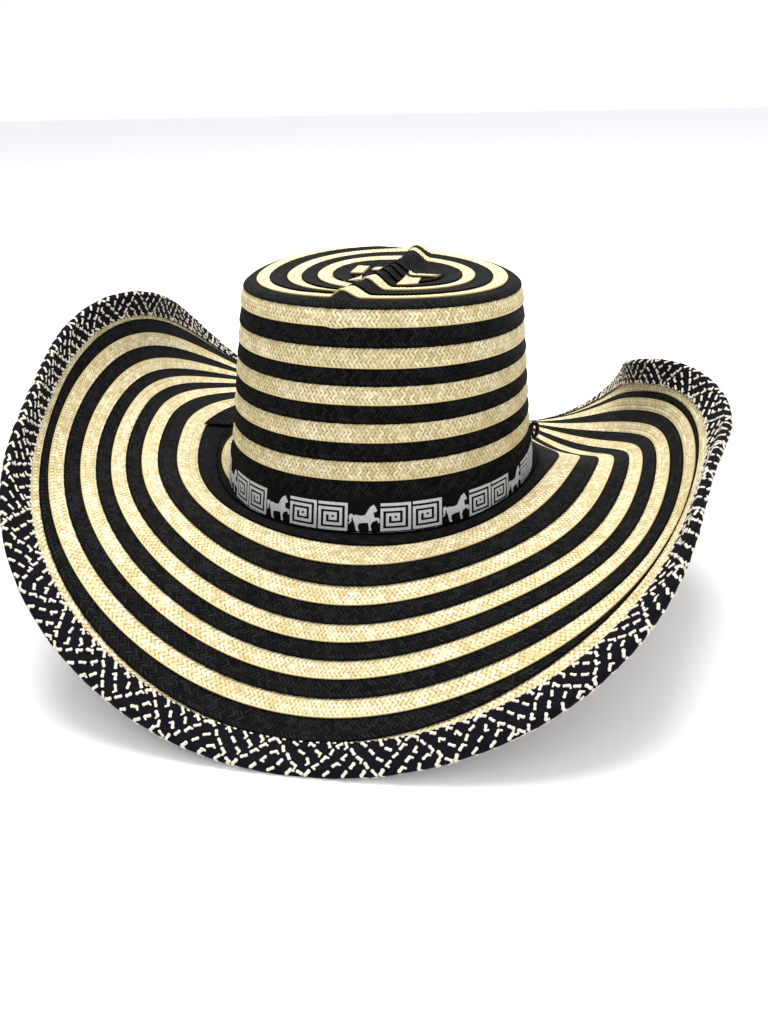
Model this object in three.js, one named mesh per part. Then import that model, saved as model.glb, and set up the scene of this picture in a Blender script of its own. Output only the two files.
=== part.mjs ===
// A wide-brimmed straw hat, sewn from a long spiral of black and cream braid.
// The crown is a hollow oval with a flat top and a pinched fold along it.
// The brim dips at the front and the back, where the hat rests, and rolls up at both sides.
// +Z is up and -Y is the front of the hat. Seen from the front, +X is at the right.
// Sizes are in millimetres.
import * as THREE from "three";

// Walls
const STRAW = 2;
const GAP = 0.3;

// Crown: half axes of the oval at its base, and how much they lose for each millimetre of height
const BASE_HEIGHT = 56.8;
const CROWN_HEIGHT = 113;
const BEND_RADIUS = 8;
const HALF_WIDTH = 87.9;
const HALF_DEPTH = 100.5;
const SQUARENESS = 2.12;
const WIDTH_TAPER = 0.115;
const DEPTH_TAPER = 0.16;
const LEAN = { x: 0.049, y: -0.068 };
// Tilt of the sewn rows towards the top: slope along x and y, then a saddle
const ROW_TILT = { x: -0.038, y: -0.033, saddle: -1.2, twist: -0.8, height: 125 };

// Pinched fold over the crown's top, from the front rim to the back rim, bowed to the right
const FOLD = {
  frontX: -3, frontY: -85, backX: 13, backY: 64, bow: 8.5,
  height: 7, rimHeight: 3.5, leftWidth: 6, rightWidth: 10,
  innerShare: 0.5, wallReach: 9,
};

// Brim: full width along its surface, binding included, and the upward slope in degrees
// at five stations from the crown to the edge. The angle goes round from the right side.
const BRIM_SECTIONS = [
  { angle: 0, width: 122, root: 36, inner: -50, middle: 8, outer: 90, edge: 44 },
  { angle: 30, width: 125, root: -32, inner: -49, middle: 27, outer: 93, edge: 105 },
  { angle: 60, width: 130, root: -11, inner: -45, middle: -23, outer: 2, edge: -4 },
  { angle: 90, width: 137, root: 29, inner: -47, middle: -50, outer: -34, edge: -14 },
  { angle: 120, width: 136, root: 25, inner: -20, middle: -29, outer: -22, edge: -10 },
  { angle: 150, width: 134, root: 36, inner: -12, middle: 0, outer: 70, edge: 106 },
  { angle: 180, width: 133, root: 37, inner: 18, middle: 16, outer: 60, edge: 91 },
  { angle: 210, width: 128, root: 36, inner: 15, middle: -17, outer: 26, edge: 98 },
  { angle: 240, width: 136, root: 35, inner: -16, middle: -26, outer: -23, edge: -8 },
  { angle: 270, width: 139, root: 28, inner: -51, middle: -50, outer: -31, edge: -15 },
  { angle: 300, width: 137, root: 27, inner: -33, middle: -24, outer: -10, edge: -6 },
  { angle: 330, width: 130, root: 57, inner: -45, middle: -50, outer: 58, edge: 84 },
];
const STATIONS = ["root", "inner", "middle", "outer", "edge"];

// Edge binding, a braid folded over the edge of the brim
const BINDING = { width: 16, upper: 1, lower: 1.6, edge: 1.3, round: 0.7 };

// Ribbon round the foot of the crown
const RIBBON = { top: 17.5, thickness: 1.1, lift: 0.45 };

// Small thick loop at the ribbon's right side
const LOOP = { angle: 17, height: 11.7, halfHeight: 4.3, halfWidth: 1.9, thickness: 1.4, stand: 5.1 };

// Cut end of the first black braid, lying on the brim at the left
const TAIL = { firstSide: 33, lastSide: 41, inner: 9, outer: 28, thickness: 1.2, lift: 0.6 };

// How finely the surfaces are divided
const CROWN_SIDES = 72;
const BRIM_SIDES = 84;
const BRIM_STEPS = 11;
const PROFILE_STEPS = 60;

const TURN = 2 * Math.PI;
const radians = THREE.MathUtils.degToRad;

// The oval and the direction straight out of it

function oval(angle, halfX, halfY) {
  const c = Math.cos(angle);
  const s = Math.sin(angle);
  const scale = (Math.abs(c) ** SQUARENESS + Math.abs(s) ** SQUARENESS) ** (-1 / SQUARENESS);
  return { x: halfX * c * scale, y: halfY * s * scale };
}

function outward(angle) {
  const p = oval(angle, 1, 1);
  const power = SQUARENESS - 1;
  const nx = Math.sign(p.x) * Math.abs(p.x) ** power / HALF_WIDTH;
  const ny = Math.sign(p.y) * Math.abs(p.y) ** power / HALF_DEPTH;
  const length = Math.hypot(nx, ny);
  return { x: nx / length, y: ny / length };
}

// Crown

function rowTilt(x, y, angle, height, share) {
  const saddle = ROW_TILT.saddle * Math.cos(2 * angle) + ROW_TILT.twist * Math.sin(2 * angle);
  return (ROW_TILT.x * x + ROW_TILT.y * y + saddle * share * share) * height / ROW_TILT.height;
}

// How far the fold stands to the right of a straight line, at a share of its length
function foldBow(along) {
  const inside = THREE.MathUtils.clamp(along, 0, 1);
  return FOLD.bow * 4 * inside * (1 - inside);
}

// From the middle of the crown's top to the nearest point of the fold
function foldShift() {
  const lineX = FOLD.backX - FOLD.frontX;
  const lineY = FOLD.backY - FOLD.frontY;
  const toX = LEAN.x * CROWN_HEIGHT - FOLD.frontX;
  const toY = LEAN.y * CROWN_HEIGHT - FOLD.frontY;
  const length = Math.hypot(lineX, lineY);
  const along = (toX * lineX + toY * lineY) / length / length;
  const bow = foldBow(along) / length;
  return { x: lineX * along + lineY * bow - toX, y: lineY * along - lineX * bow - toY };
}

// Height of the pinched fold above the crown's top at a place in plan
function foldHeight(x, y) {
  const lineX = FOLD.backX - FOLD.frontX;
  const lineY = FOLD.backY - FOLD.frontY;
  const length = Math.hypot(lineX, lineY);
  const along = ((x - FOLD.frontX) * lineX + (y - FOLD.frontY) * lineY) / length / length;
  const across = ((x - FOLD.frontX) * lineY - (y - FOLD.frontY) * lineX) / length - foldBow(along);
  const width = across < 0 ? FOLD.leftWidth : FOLD.rightWidth;
  const share = Math.min(1, Math.abs(across) / width);
  const middle = Math.sin(Math.PI * THREE.MathUtils.clamp(along, 0, 1));
  const crest = FOLD.rimHeight + (FOLD.height - FOLD.rimHeight) * middle;
  return crest * (0.5 + 0.5 * Math.cos(Math.PI * share));
}

// A point of the crown at a height up the wall, or an angle round the bend, or a share of the top
function crownPoint(angle, row, wall) {
  const radius = BEND_RADIUS - wall;
  const bend = radians(row.bend ?? 0);
  const wallTop = CROWN_HEIGHT - BEND_RADIUS;
  const height = row.height ?? wallTop + radius * Math.sin(bend);
  const inset = wall + radius * (1 - Math.cos(bend));
  const share = row.share ?? 1;
  const tapered = Math.min(height, wallTop);
  const p = oval(angle, HALF_WIDTH - WIDTH_TAPER * tapered - inset, HALF_DEPTH - DEPTH_TAPER * tapered - inset);
  const shift = foldShift();
  const x = p.x * share + LEAN.x * height + shift.x * (1 - share);
  const y = p.y * share + LEAN.y * height + shift.y * (1 - share);
  const strength = wall > 0 ? FOLD.innerShare : 1;
  const reach = row.height === undefined ? 1 : Math.max(0, 1 - (wallTop - height) / FOLD.wallReach);
  const fold = foldHeight(x, y) * strength * reach;
  const out = outward(angle);
  const side = share < 1 ? 0 : Math.cos(bend);
  const z = BASE_HEIGHT + height + rowTilt(x, y, angle, height, share) + fold * (1 - side);
  return new THREE.Vector3(x + out.x * fold * side, y + out.y * fold * side, z);
}

// Directions round the crown, closer together where the fold crosses the rim
function crownAngles() {
  const rimWidth = HALF_WIDTH - WIDTH_TAPER * CROWN_HEIGHT;
  const rimDepth = HALF_DEPTH - DEPTH_TAPER * CROWN_HEIGHT;
  const foldAngle = Math.atan2((FOLD.backY - FOLD.frontY) * rimWidth, (FOLD.backX - FOLD.frontX) * rimDepth);
  return Array.from({ length: CROWN_SIDES }, (_, i) => {
    const even = TURN * i / CROWN_SIDES;
    return foldAngle + even - 0.25 * Math.sin(2 * even);
  });
}

function crownGeometry() {
  const wallTop = CROWN_HEIGHT - BEND_RADIUS;
  const rows = [
    { height: GAP }, { height: wallTop / 2 }, { height: wallTop - FOLD.wallReach }, { height: wallTop },
    { bend: 30 }, { bend: 60 }, { bend: 90 },
    { bend: 90, share: 0.84 }, { bend: 90, share: 0.64 }, { bend: 90, share: 0.42 }, { bend: 90, share: 0.2 },
  ];
  const angles = crownAngles();
  const outside = rows.map((row) => angles.map((angle) => crownPoint(angle, row, 0)));
  const inside = rows.map((row) => angles.map((angle) => crownPoint(angle, row, STRAW)));
  const middle = { bend: 90, share: 0 };
  const rings = [...inside.reverse(), ...outside];
  return tubeGeometry(rings, crownPoint(0, middle, STRAW), crownPoint(0, middle, 0));
}

// Brim

// Smooth periodic curve through the twelve sections, one weight for each
function sectionWeights(angle) {
  const count = BRIM_SECTIONS.length;
  return BRIM_SECTIONS.map((section) => {
    const turn = angle - radians(section.angle);
    const half = Math.sin(turn / 2);
    if (Math.abs(half) < 1e-9) return 1;
    return Math.sin(count * turn / 2) * Math.cos(turn / 2) / (count * half);
  });
}

function blendSections(angle, key) {
  const weights = sectionWeights(angle);
  return BRIM_SECTIONS.reduce((sum, section, i) => sum + weights[i] * section[key], 0);
}

// Weights of the five stations at a share of the brim's width
function stationWeights(t) {
  const choose = [1, 4, 6, 4, 1];
  return choose.map((c, i) => c * t ** i * (1 - t) ** (4 - i));
}

const profiles = new Map();

// How far out and how high the brim's upper face is, at even steps along its width
function brimProfile(angle) {
  const key = angle.toFixed(6);
  if (profiles.has(key)) return profiles.get(key);
  const width = blendSections(angle, "width");
  const slopes = STATIONS.map((station) => radians(blendSections(angle, station)));
  const slopeAt = (t) => stationWeights(t).reduce((sum, w, i) => sum + w * slopes[i], 0);
  const points = [{ out: 0, up: 0 }];
  for (let i = 0; i < PROFILE_STEPS; i++) {
    const slope = slopeAt((i + 0.5) / PROFILE_STEPS);
    const last = points[i];
    const step = width / PROFILE_STEPS;
    points.push({ out: last.out + step * Math.cos(slope), up: last.up + step * Math.sin(slope) });
  }
  const profile = { width, points };
  profiles.set(key, profile);
  return profile;
}

// A point of the brim's upper face, a distance along it from the crown
function brimSurface(angle, distance) {
  const { width, points } = brimProfile(angle);
  const at = THREE.MathUtils.clamp(distance / width, 0, 1) * PROFILE_STEPS;
  const i = Math.min(Math.floor(at), PROFILE_STEPS - 1);
  const out = THREE.MathUtils.lerp(points[i].out, points[i + 1].out, at - i);
  const up = THREE.MathUtils.lerp(points[i].up, points[i + 1].up, at - i);
  const foot = oval(angle, HALF_WIDTH, HALF_DEPTH);
  const n = outward(angle);
  return new THREE.Vector3(foot.x + n.x * out, foot.y + n.y * out, BASE_HEIGHT + up);
}

// A point at a height above the brim's upper face, measured square to it
function brimPoint(angle, distance, above) {
  const step = 1;
  const turn = radians(0.5);
  const width = brimProfile(angle).width;
  const near = Math.min(distance, width - step);
  const along = brimSurface(angle, near + step).sub(brimSurface(angle, near));
  const round = brimSurface(angle + turn, near).sub(brimSurface(angle - turn, near));
  const normal = along.cross(round).normalize();
  return brimSurface(angle, distance).addScaledVector(normal, above);
}

function evenAngles(count) {
  return Array.from({ length: count }, (_, i) => TURN * i / count);
}

function brimGeometry() {
  const angles = evenAngles(BRIM_SIDES);
  // Even rows up to the binding, then one more at the edge that it holds
  const row = (i, above) => angles.map((angle) => {
    const { width } = brimProfile(angle);
    const open = width - BINDING.width - GAP;
    const distance = i > BRIM_STEPS ? width - BINDING.edge - GAP : GAP + open * i / BRIM_STEPS;
    return brimPoint(angle, distance, above);
  });
  const upper = Array.from({ length: BRIM_STEPS + 2 }, (_, i) => row(i, 0));
  const lower = Array.from({ length: BRIM_STEPS + 2 }, (_, i) => row(i, -STRAW));
  return tubeGeometry([...lower, ...upper.reverse()]);
}

// A folded strip that holds the brim's edge between two leaves
function bindingGeometry() {
  const top = GAP + BINDING.upper;
  const bottom = -STRAW - GAP - BINDING.lower;
  const { width, edge, round } = BINDING;
  const section = [
    { back: round, above: top },
    { back: 0, above: 0 },
    { back: 0, above: -STRAW },
    { back: round, above: bottom },
    { back: 3, above: bottom },
    { back: 6, above: bottom },
    { back: width, above: bottom },
    { back: width, above: -STRAW - GAP },
    { back: edge, above: -STRAW - GAP },
    { back: edge, above: GAP },
    { back: width, above: GAP },
    { back: width, above: top },
  ];
  const rings = section.map(({ back, above }) => evenAngles(BRIM_SIDES).map((angle) => {
    const p = brimPoint(angle, brimProfile(angle).width - back, above);
    // The hat rests on the binding, which is pressed flat there
    if (above === bottom) p.z = Math.max(p.z, 0);
    return p;
  }));
  return tubeGeometry([...rings, rings[0]], null, null, true);
}

// Ribbon

function ribbonGeometry() {
  const near = GAP;
  const far = GAP + RIBBON.thickness;
  const foot = (angle) => {
    const rise = Math.max(brimSurface(angle, far).z, brimSurface(angle, 2 * far).z, BASE_HEIGHT);
    return rise - BASE_HEIGHT + RIBBON.lift;
  };
  const corner = (angle, offset, height) => {
    const p = crownPoint(angle, { height }, 0);
    const n = outward(angle);
    return new THREE.Vector3(p.x + n.x * offset, p.y + n.y * offset, p.z);
  };
  const angles = crownAngles();
  const rings = [
    angles.map((angle) => corner(angle, near, foot(angle))),
    angles.map((angle) => corner(angle, far, foot(angle))),
    angles.map((angle) => corner(angle, far, RIBBON.top)),
    angles.map((angle) => corner(angle, near, RIBBON.top)),
  ];
  return tubeGeometry([...rings, rings[0]], null, null, true);
}

// Loop and tail

function loopGeometry() {
  const angle = radians(LOOP.angle);
  const n = outward(angle);
  const foot = crownPoint(angle, { height: LOOP.height }, 0);
  const around = 14;
  const across = 8;
  const rings = [];
  for (let i = 0; i < across; i++) {
    const turn = TURN * i / across;
    const ring = evenAngles(around).map((at) => {
      const out = LOOP.stand + (LOOP.halfWidth + LOOP.thickness * Math.cos(turn)) * Math.cos(at);
      const up = (LOOP.halfHeight + LOOP.thickness * Math.cos(turn)) * Math.sin(at);
      const side = -LOOP.thickness * Math.sin(turn);
      return new THREE.Vector3(
        foot.x + n.x * out - n.y * side,
        foot.y + n.y * out + n.x * side,
        foot.z + up,
      );
    });
    rings.push(ring);
  }
  return tubeGeometry([...rings, rings[0]], null, null, true);
}

function tailGeometry() {
  const low = TAIL.lift;
  const high = TAIL.lift + TAIL.thickness;
  const sections = evenAngles(BRIM_SIDES).slice(TAIL.firstSide, TAIL.lastSide + 1).map((angle) => {
    const corners = [[TAIL.inner, low], [TAIL.outer, low], [TAIL.outer, high], [TAIL.inner, high]];
    return corners.map(([distance, above]) => brimPoint(angle, distance, above));
  });
  return boxGeometry(sections);
}

// Meshes

// A closed mesh from rings of points that share their count. The ends close on a point each,
// or the last ring is the first one again.
function tubeGeometry(rings, startPoint = null, endPoint = null, joined = false) {
  const loops = joined ? rings.slice(0, -1) : rings;
  const count = loops[0].length;
  const positions = loops.flat().flatMap((p) => [p.x, p.y, p.z]);
  const triangles = [];
  const last = loops.length - 1;
  const bands = joined || startPoint === null ? loops.length : last;
  for (let r = 0; r < bands; r++) {
    const next = (r + 1) % loops.length;
    for (let i = 0; i < count; i++) {
      const j = (i + 1) % count;
      const a = r * count + i;
      const b = r * count + j;
      const c = next * count + j;
      const d = next * count + i;
      triangles.push(a, b, c, a, c, d);
    }
  }
  if (startPoint !== null) {
    const start = positions.length / 3;
    positions.push(startPoint.x, startPoint.y, startPoint.z);
    positions.push(endPoint.x, endPoint.y, endPoint.z);
    for (let i = 0; i < count; i++) {
      const j = (i + 1) % count;
      triangles.push(start, j, i);
      triangles.push(start + 1, last * count + i, last * count + j);
    }
  }
  return finished(positions, triangles);
}

// A closed bar from four-cornered sections
function boxGeometry(sections) {
  const positions = sections.flat().flatMap((p) => [p.x, p.y, p.z]);
  const triangles = [];
  const last = (sections.length - 1) * 4;
  for (let r = 0; r < sections.length - 1; r++) {
    for (let i = 0; i < 4; i++) {
      const a = r * 4 + i;
      const b = r * 4 + (i + 1) % 4;
      triangles.push(a, b, b + 4, a, b + 4, a + 4);
    }
  }
  triangles.push(0, 2, 1, 0, 3, 2);
  triangles.push(last, last + 1, last + 2, last, last + 2, last + 3);
  return finished(positions, triangles);
}

// Faces point outwards when the signed volume is positive
function finished(positions, triangles) {
  const at = (i) => new THREE.Vector3().fromArray(positions, 3 * i);
  let volume = 0;
  for (let i = 0; i < triangles.length; i += 3) {
    const [a, b, c] = [at(triangles[i]), at(triangles[i + 1]), at(triangles[i + 2])];
    volume += a.dot(b.cross(c));
  }
  if (volume < 0) triangles.reverse();
  const geometry = new THREE.BufferGeometry();
  geometry.setAttribute("position", new THREE.Float32BufferAttribute(positions, 3));
  geometry.setIndex(triangles);
  geometry.computeVertexNormals();
  return geometry;
}

function piece(name, geometry, color, roughness) {
  const material = new THREE.MeshStandardMaterial({ color, roughness, metalness: 0 });
  const mesh = new THREE.Mesh(geometry, material);
  mesh.name = name;
  return mesh;
}

const CREAM = 0xe6d3a0;
const BLACK = 0x17171a;

const hat = new THREE.Group();
hat.add(piece("crown", crownGeometry(), CREAM, 0.75));
hat.add(piece("brim", brimGeometry(), CREAM, 0.75));
hat.add(piece("edge_binding", bindingGeometry(), BLACK, 0.8));
hat.add(piece("hatband", ribbonGeometry(), BLACK, 0.7));
hat.add(piece("band_loop", loopGeometry(), BLACK, 0.6));
hat.add(piece("braid_tail", tailGeometry(), BLACK, 0.8));

// The origin is under the middle of the hat, on the surface that it rests on
const box = new THREE.Box3().setFromObject(hat);
const centre = box.getCenter(new THREE.Vector3());
hat.position.set(-centre.x, -centre.y, -box.min.z);
hat.updateMatrixWorld(true);

export default hat;
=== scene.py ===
import math
import bmesh
import bpy
import numpy as np
from mathutils import Matrix, Vector


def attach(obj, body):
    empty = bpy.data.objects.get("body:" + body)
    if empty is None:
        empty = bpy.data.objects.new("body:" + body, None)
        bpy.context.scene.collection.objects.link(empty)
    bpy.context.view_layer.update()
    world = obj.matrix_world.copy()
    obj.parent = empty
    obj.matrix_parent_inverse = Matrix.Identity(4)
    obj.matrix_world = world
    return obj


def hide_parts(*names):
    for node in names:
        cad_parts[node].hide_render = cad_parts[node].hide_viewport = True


# A wide-brimmed straw hat sewn from a long spiral of black and cream braid.
# Lengths are in millimetres here, and become metres where a mesh is made.

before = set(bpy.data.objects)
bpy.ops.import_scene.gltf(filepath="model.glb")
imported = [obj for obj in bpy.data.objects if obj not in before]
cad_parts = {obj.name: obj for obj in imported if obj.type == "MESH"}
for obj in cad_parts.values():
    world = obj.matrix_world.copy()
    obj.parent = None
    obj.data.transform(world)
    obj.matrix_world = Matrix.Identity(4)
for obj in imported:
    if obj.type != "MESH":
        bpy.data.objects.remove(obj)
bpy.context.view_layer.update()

MM = 0.001
TURN = 2 * math.pi

# Shape of the hat, the same as the solids'
BASE_HEIGHT = 56.8
CROWN_HEIGHT = 113
BEND_RADIUS = 8
HALF_WIDTH = 87.9
HALF_DEPTH = 100.5
SQUARENESS = 2.12
WIDTH_TAPER = 0.115
DEPTH_TAPER = 0.16
LEAN = (0.049, -0.068)
ROW_TILT = {"x": -0.038, "y": -0.033, "saddle": -1.2, "twist": -0.8, "height": 125}
FOLD = {
    "front": (-3, -85), "back": (13, 64), "bow": 8.5,
    "height": 7, "rim_height": 3.5, "left_width": 6, "right_width": 10, "wall_reach": 9,
    "foot": 0.8, "foot_search": 64,
}
SHIFT = (-5.24, 0.62, 0)
BINDING_WIDTH = 16

# Brim: angle in degrees from the right side, full width, and the upward slope at five stations.
# The last column is how much of the outermost cream braid shows beside the binding.
BRIM_COLUMNS = ("angle", "width", "root", "inner", "middle", "outer", "edge", "rim")
BRIM_SECTIONS = (
    (0, 122, 36, -50, 8, 90, 44, 5),
    (30, 125, -32, -49, 27, 93, 105, 5),
    (60, 130, -11, -45, -23, 2, -4, 5),
    (90, 137, 29, -47, -50, -34, -14, 3),
    (120, 136, 25, -20, -29, -22, -10, 2),
    (150, 134, 36, -12, 0, 70, 106, 2),
    (180, 133, 37, 18, 16, 60, 91, 3),
    (210, 128, 36, 15, -17, 26, 98, 5),
    (240, 136, 35, -16, -26, -23, -8, 3),
    (270, 139, 28, -51, -50, -31, -15, 0),
    (300, 137, 27, -33, -24, -10, -6, 6),
    (330, 130, 57, -45, -50, 58, 84, 10),
)
STATIONS = ("root", "inner", "middle", "outer", "edge")
PROFILE_STEPS = 240
BRIM_ANGLES = 1440

# How far the braids nearest the crown drift outwards: angle in degrees, millimetres; it fades with the share
DRIFT = ((100, 0), (140, 8), (158, 13), (178, 12), (190, 7), (200, 4.3), (215, 1.5), (235, 0))
DRIFT_REACH = 0.6
DRIFT_ROUNDING = 8
FIRST_BRAID = 0.042
# How far the last cream braid stays back from the brim's edge, under the binding
LAST_GAP = 5

# Edges of the black braids on the brim, as shares of its width
BRIM_BLACK = ((0.0, 0.141), (0.241, 0.330), (0.402, 0.472), (0.535, 0.600), (0.664, 0.732), (0.798, 0.868))
# Edges of the black braids on the crown's wall, as heights above its foot
WALL_BLACK = ((101.4, 91.8), (82.2, 73.7), (64.6, 55.5), (46.2, 36.7), (27.2, 0.5))
RIM_BLACK_LOW = 109.5
# A black stripe wider than this is two braids
ONE_BRAID = 20
# Degrees over which the rim's braid widens, left of the fold
RIM_EASE = 12

# Edges of the braids on the crown's top, as shares of the way from its middle to the rim.
# The rings on the left of the fold hold one pair more than those on its right.
TOP_COLUMNS = ("back", "side", "front")
TOP_LEFT = ((1.16, 1.0, 1.0), (1.11, 0.914, 0.84), (0.97, 0.784, 0.79), (0.84, 0.683, 0.73),
            (0.656, 0.568, 0.64), (0.498, 0.468, 0.475))
TOP_RIGHT = ((0.97, 1.0, 1.0), (0.84, 0.865, 0.84), (0.656, 0.70, 0.64), (0.498, 0.586, 0.475))
TOP_SPAN = 70
TOP_EDGE = 0.99
MIDDLE_RINGS = (1.0, 0.72, 0.45, 0.2, 0.03)

# A braid: how it is laid over the next one, and its herringbone weave
LAY = {"inner": -0.4, "rise": 1.0, "thickness": 0.9, "tuck": 2.0, "cord": 0.9}
RIBS = {"step": 1.1, "height": 0.16}
STRAW = {
    "dull": (0.52, 0.43, 0.22, 1), "bright": (0.82, 0.75, 0.52, 1), "worn": (0.46, 0.36, 0.16, 1),
    "gap": (0.29, 0.185, 0.045, 1), "cord": (0.58, 0.47, 0.23, 1),
}
WEAVE = {"pitch": 2.4, "row": 2.05, "slant": 0.75, "relief": 0.3, "repeat": 7.2, "ragged": 0.22}
BLACK_WEAVE = {"pitch": 2.2, "row": 2.4, "slant": 1.0}
BLACK = {
    "dull": (0.0035, 0.0035, 0.0035, 1), "bright": (0.016, 0.016, 0.016, 1),
    "gap": (0.0008, 0.0008, 0.0008, 1), "cord": (0.0006, 0.0006, 0.0006, 1),
}
# Scales of the noise in the materials
GRAIN = {"wear": 45, "patches": 260, "black": 300, "cloth": 140, "thread": 700, "shiny": 500}
# Spacing of a braid's mesh, across it and along it
FINENESS = {"cream": (0.84, 0.8), "black": (0.95, 1.8)}

# Patches of cream straw over the black middle of the crown's top, as corners in plan
TOP_PATCHES = (
    ((-11.5, 6), (-5, 7), (-4, -18), (-10.5, -19)),
    ((-8.5, -37), (-3.7, -25), (-3, -25.5), (-1, -37)),
    ((-1, 4), (3, 5), (3, -8), (-1, -8)),
    ((20, -20), (28, -22), (29, -41), (19, -46)),
    ((20, -10), (37, -10), (34, -18), (21, -18)),
)
PATCH_LIFT = 0.9

# Binding: its path runs from the inner edge on top, round the outer edge, to the inner edge below
EDGE = {"face": 1.3, "radius": 2.6, "thickness": 0.9, "scallop": 0.8}
EDGE_FLAT = BINDING_WIDTH - EDGE["radius"]
EDGE_ARC = math.pi * EDGE["radius"]
EDGE_PATH = 2 * EDGE_FLAT + EDGE_ARC
EDGE_STEPS = 900
# Rows of its mesh on each flat side, as millimetres from the inner edge
EDGE_ROWS = (0.9, 2.6, 4.4, 6.2, 8, 9.8, 11.6)
# Low waves in it, as height and length
WAVES = ((0.16, 7.75), (0.1, 23.1))
FIGURE = 31
# Lines of white strokes: where each starts, in quarters of a figure, and how far it goes across
LINES_OUT = ((0, 1.0), (1, 0.68), (2, 0.42), (3, 0.2))
LINES_IN = ((2, 1.0), (3, 0.68), (4, 0.42), (5, 0.2))
STROKE = {
    "spacing": 4.6, "length": 3.4, "width": 2.0, "turn": 24, "smallest": 0.88, "largest": 1.1,
    "tick": 0.45, "tick_length": 2.2, "tick_width": 1.3, "tick_turn": 75, "tick_side": 0.6, "tick_end": 0.4,
}
# Small strokes at the binding's inner edge: how far in, length and width
TIP = (0.75, 1.5, 0.9)
STROKE_STATIONS = ((-1, 0.6), (-0.68, 1.05), (0, 0.78), (0.68, 1.05), (1, 0.6))
STROKE_SECTION = ((-1, -0.3), (-0.55, 0.34), (0.55, 0.34), (1, -0.3))
SEED = 7

# Ribbon round the crown, and the figures printed on it
RIBBON = {"face": 1.4, "back": 0.3, "gap": 0.45, "top": 17.5, "low": 0.45, "print": 0.22}
# Its raised upper edge, as shares of its height and millimetres added
RIBBON_EDGE = ((0.965, 0), (0.972, 0.12), (0.985, 0.12), (0.992, 0), (1, -0.12))
PRINT_STEP = 49
PRINT_START = 482.8
PRINT_COUNT = 12
PRINT_FOOT = 1.4
KEY = {"width": 15.6, "height": 14.6, "line": 1.45, "turns": 3, "gap": 1.0}
HORSE = (
    (2.6, 8.2), (2.0, 9.0), (1.0, 9.0), (0.4, 8.1), (0.5, 6.4), (0.8, 5.2), (0.0, 4.0), (1.0, 4.1),
    (1.8, 5.3), (1.7, 7.0), (2.3, 7.4), (2.5, 6.0), (3.2, 4.5), (3.6, 2.6), (4.2, 0.3), (5.8, 0.1),
    (5.0, 2.2), (5.4, 4.0), (7.6, 4.5), (10.2, 4.6), (10.5, 2.6), (10.8, 0.4), (12.1, 0.4), (11.5, 3.0),
    (12.3, 4.8), (13.5, 5.5), (15.0, 5.9), (15.2, 4.5), (16.1, 4.5), (16.2, 6.3), (15.4, 7.2), (13.6, 7.2),
    (13.1, 8.9), (13.2, 10.3), (14.1, 10.2), (14.9, 10.9), (13.8, 12.9), (13.1, 14.1), (12.5, 13.5),
    (11.4, 13.0), (9.9, 10.8), (8.8, 8.6), (6.6, 8.1), (4.0, 8.6),
)
HORSE_WIDTH = 16.2

# Cord loop at the right, and the loose end of a braid at the left
LOOP = {"angle": 17, "height": 11.7, "tall": 4.3, "wide": 1.9, "radius": 1.35, "stand": 5.1, "twists": 5}
# The thread that holds it: the turns' heights, how far out they are, and their sizes
THREAD = {"turns": (-0.8, 0.0, 0.8), "out": 1.7, "thick": 0.95, "deep": 0.9, "wide": 1.5, "high": 0.42}
TAIL = {"start": 141, "inner_end": 160, "outer_end": 177, "inner": 9, "outer": 29.5, "lift": 1.3}
# Cream braid that shows beside the ribbon at the left
SLIVER = {"start": 146, "end": 206, "inner": 1.5, "outer": 2.5, "swell": 9, "lift": 1.0}


# The oval, and the direction straight out of it

def oval(angle, half_x, half_y):
    c, s = np.cos(angle), np.sin(angle)
    scale = (np.abs(c) ** SQUARENESS + np.abs(s) ** SQUARENESS) ** (-1 / SQUARENESS)
    return half_x * c * scale, half_y * s * scale


def outward(angle):
    x, y = oval(angle, 1, 1)
    nx = np.sign(x) * np.abs(x) ** (SQUARENESS - 1) / HALF_WIDTH
    ny = np.sign(y) * np.abs(y) ** (SQUARENESS - 1) / HALF_DEPTH
    length = np.hypot(nx, ny)
    return nx / length, ny / length


def unit(vectors):
    return vectors / np.maximum(np.linalg.norm(vectors, axis=-1, keepdims=True), 1e-9)


# Crown

def fold_line():
    """Where the fold starts, its direction and its length in plan."""
    front, back = np.array(FOLD["front"], float), np.array(FOLD["back"], float)
    length = np.linalg.norm(back - front)
    return front, (back - front) / length, length


def fold_bow(along):
    """How far the fold stands to the right of a straight line, at a share of its length."""
    inside = np.clip(along, 0, 1)
    return FOLD["bow"] * 4 * inside * (1 - inside)


def fold_place(x, y):
    """Share of the fold's length, and millimetres to the right of its crest, of a place in plan."""
    front, way, length = fold_line()
    along = ((x - front[0]) * way[0] + (y - front[1]) * way[1]) / length
    return along, (x - front[0]) * way[1] - (y - front[1]) * way[0] - fold_bow(along)


def fold_height(x, y):
    along, across = fold_place(x, y)
    width = np.where(across < 0, FOLD["left_width"], FOLD["right_width"])
    share = np.minimum(1, np.abs(across) / width)
    middle = np.sin(np.pi * np.clip(along, 0, 1))
    crest = FOLD["rim_height"] + (FOLD["height"] - FOLD["rim_height"]) * middle
    return crest * (0.5 + 0.5 * np.cos(np.pi * share))


def fold_shift():
    """From the middle of the crown's top to the nearest point of the fold."""
    front, way, length = fold_line()
    to = np.array(LEAN) * CROWN_HEIGHT - front
    along = to @ way
    aside = np.array((way[1], -way[0])) * fold_bow(along / length)
    return way * along + aside - to


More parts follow.
